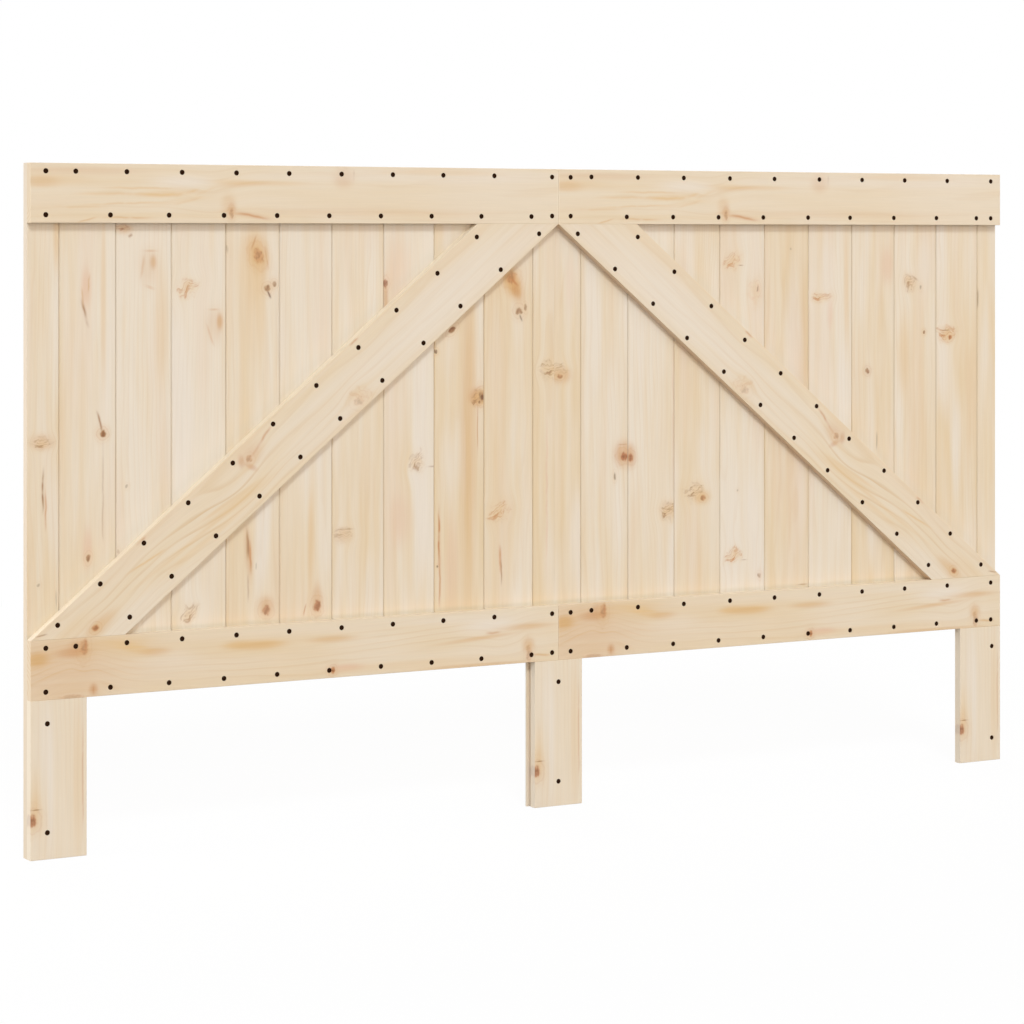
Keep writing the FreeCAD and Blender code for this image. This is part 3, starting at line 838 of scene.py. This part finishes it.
def floor_finish():
    """Grey for the light that bounces about, and white with a faint shadow where it is seen."""
    material = bpy.data.materials.new("floor_white")
    material.use_nodes = True
    tree = material.node_tree
    tree.nodes.clear()
    bouncing = add_node(tree, "ShaderNodeBsdfDiffuse", {"Color": floor_grey})
    shadowed = add_node(tree, "ShaderNodeBsdfDiffuse", {"Color": white})
    glowing = add_node(tree, "ShaderNodeEmission", {"Color": white, "Strength": 1.0})
    away = length_of(tree, add_node(tree, "ShaderNodeTexCoord").outputs["Object"])
    shadow_share = number(tree, "MULTIPLY", eased(tree, away, shadow_gone, shadow_full), shadow_strength)
    backdrop = add_node(
        tree, "ShaderNodeMixShader", {0: shadow_share, 1: glowing.outputs[0], 2: shadowed.outputs[0]})
    shown = add_node(
        tree, "ShaderNodeMixShader",
        {0: seen_directly(tree), 1: bouncing.outputs[0], 2: backdrop.outputs[0]})
    add_node(tree, "ShaderNodeOutputMaterial", {"Surface": shown.outputs[0]})
    return material


floor_data.materials.append(floor_finish())

# Light
# An even pale surround and five soft lamps far away: a key from the upper left front, fills from the front,
# the right front and behind, and a wash along the panel from the left. A disc lamp stands off the left end.
warm_white = (1.0, 0.935, 0.885)
cool_white = (0.80, 0.91, 1.0)
surround_level = 0.518
world = bpy.data.worlds.new("studio")
bpy.context.scene.world = world
world.use_nodes = True
world.node_tree.nodes.clear()
surround = add_node(
    world.node_tree, "ShaderNodeBackground", {"Color": (*warm_white, 1), "Strength": surround_level})
white_out = add_node(world.node_tree, "ShaderNodeBackground", {"Color": white, "Strength": 1.0})
studio = add_node(
    world.node_tree, "ShaderNodeMixShader",
    {0: seen_directly(world.node_tree), 1: surround.outputs[0], 2: white_out.outputs[0]})
add_node(world.node_tree, "ShaderNodeOutputWorld", {"Surface": studio.outputs[0]})


def sun(name, towards, level_share, spread, colour):
    """A lamp far away in one direction. A share of 1 lights a surface that faces it to its own colour, and
    spread is how wide the lamp looks, in degrees."""
    data = bpy.data.lights.new(name, "SUN")
    data.color = colour
    data.energy = level_share * math.pi
    data.angle = math.radians(spread)
    lamp = bpy.data.objects.new(name, data)
    lamp.rotation_euler = Vector(towards).to_track_quat("Z", "Y").to_euler()
    bpy.context.scene.collection.objects.link(lamp)


sun("key", (-0.40, -1.0, 0.875), level_share=0.46, spread=13.0, colour=cool_white)
sun("front fill", (-0.1, -1.0, 0.1), level_share=0.215, spread=40.0, colour=warm_white)
sun("right fill", (1.0, -0.8, 0.1), level_share=0.264, spread=40.0, colour=warm_white)
sun("left wash", (-1.0, 0.14, 0.03), level_share=0.18, spread=14.0, colour=warm_white)
sun("back fill", (0.25, 1.0, 0.35), level_share=0.32, spread=40.0, colour=warm_white)

side_lamp_data = bpy.data.lights.new("side lamp", "AREA")
side_lamp_data.shape = "DISK"
side_lamp_data.size = 0.7
side_lamp_data.energy = 7.0
side_lamp = bpy.data.objects.new("side lamp", side_lamp_data)
side_lamp.location = (-2.5, 0.1, 0.6)
side_lamp.rotation_euler = Vector((-1, 0, 0)).to_track_quat("Z", "Y").to_euler()
side_lamp.visible_camera = False
bpy.context.scene.collection.objects.link(side_lamp)

# Camera
# A level camera about a metre up, 30 degrees round to the left, with a long lens. Its shift lowers the frame
# to about the middle of the headboard.
camera_data = bpy.data.cameras.new("camera")
camera_data.lens = 110.36
camera_data.sensor_width = 36.0
camera_data.shift_y = -0.2682
camera = bpy.data.objects.new("camera", camera_data)
camera.location = (-2.9314, -4.9237, 1.0348)
camera.rotation_euler = (math.radians(90), 0, math.radians(-30))
bpy.context.scene.collection.objects.link(camera)
bpy.context.scene.camera = camera
bpy.context.scene.view_settings.view_transform = "Standard"
